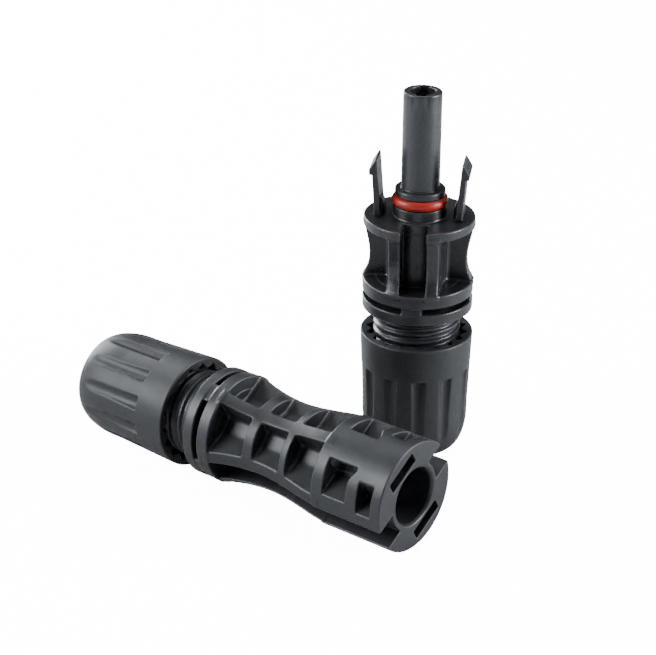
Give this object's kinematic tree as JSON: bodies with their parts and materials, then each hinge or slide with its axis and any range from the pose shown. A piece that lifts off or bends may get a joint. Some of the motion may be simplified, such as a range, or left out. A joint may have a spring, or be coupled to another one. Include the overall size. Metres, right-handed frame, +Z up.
{
  "type": "cable connector",
  "caption": "Pair of single-pole connectors for solar panel cables: a pin half lying down and a socket half standing on its gland nut, with sprung latches.",
  "frame": {"origin": "on the ground under the centre of the bounding box of the two halves as they rest", "axes": "+X along the lying pin half's axis, towards its mating face; +Z up, along the standing socket half's axis towards its tip"},
  "size_m": [0.068, 0.0498, 0.065],
  "materials": {
    "housing_plastic": "satin",
    "nut_plastic": "fine textured",
    "claw_plastic": "satin",
    "red_rubber": "satin",
    "black_rubber": "matte",
    "tinned_copper": "satin",
    "spring_bronze": "satin"
  },
  "bodies": {
    "pin_half": {"pin_housing": "housing_plastic", "pin_contact": "tinned_copper", "pin_contact_clip": "spring_bronze", "pin_cable_seal": "black_rubber"},
    "pin_claw": {"pin_clamp_claw": "claw_plastic"},
    "pin_nut": {"pin_gland_nut": "nut_plastic"},
    "socket_nut": {"socket_gland_nut": "nut_plastic"},
    "socket_claw": {"socket_clamp_claw": "claw_plastic"},
    "socket_half": {"socket_housing": "housing_plastic", "sealing_ring": "red_rubber", "socket_contact": "tinned_copper", "lamella_band": "spring_bronze", "socket_contact_clip": "spring_bronze", "socket_cable_seal": "black_rubber"},
    "left_latch": {"latch_arm_left": "housing_plastic"},
    "right_latch": {"latch_arm_right": "housing_plastic"}
  },
  "joints": [
    {"name": "pin_claw_slide", "type": "slide", "parent": "pin_half", "child": "pin_claw", "axis": [1, 0, 0], "range_m": [-0.009, 0.0042]},
    {"name": "pin_nut_turn", "type": "hinge", "parent": "pin_claw", "child": "pin_nut", "pos_m": [-0.02345, -0.0152, 0.00975], "axis": [1, 0, 0], "range_deg": [-2160, 1008]},
    {"name": "socket_lift", "type": "slide", "parent": "pin_half", "child": "socket_nut", "axis": [0, 0, 1], "range_m": [0, 0.08]},
    {"name": "socket_half_turn", "type": "hinge", "parent": "socket_nut", "child": "socket_claw", "pos_m": [0.0117, 0.0152, 0.0106], "axis": [0, 0, 1], "range_deg": [-1008, 2160]},
    {"name": "socket_half_slide", "type": "slide", "parent": "socket_claw", "child": "socket_half", "axis": [0, 0, 1], "range_m": [-0.0042, 0.009]},
    {"name": "left_latch_bend", "type": "hinge", "parent": "socket_half", "child": "left_latch", "pos_m": [0.00569, 0.01181, 0.04335], "axis": [-0.4909, 0.8712, 0], "range_deg": [0, 8], "stiffness_Nm_per_rad": 0.2},
    {"name": "right_latch_bend", "type": "hinge", "parent": "socket_half", "child": "right_latch", "pos_m": [0.01771, 0.01859, 0.04335], "axis": [0.4909, -0.8712, 0], "range_deg": [0, 8], "stiffness_Nm_per_rad": 0.2}
  ],
  "couplings": [
    {"joint": "pin_nut_turn", "follows": "pin_claw_slide", "rad_per_m": 4188.8},
    {"joint": "socket_half_turn", "follows": "socket_half_slide", "rad_per_m": 4188.8}
  ]
}
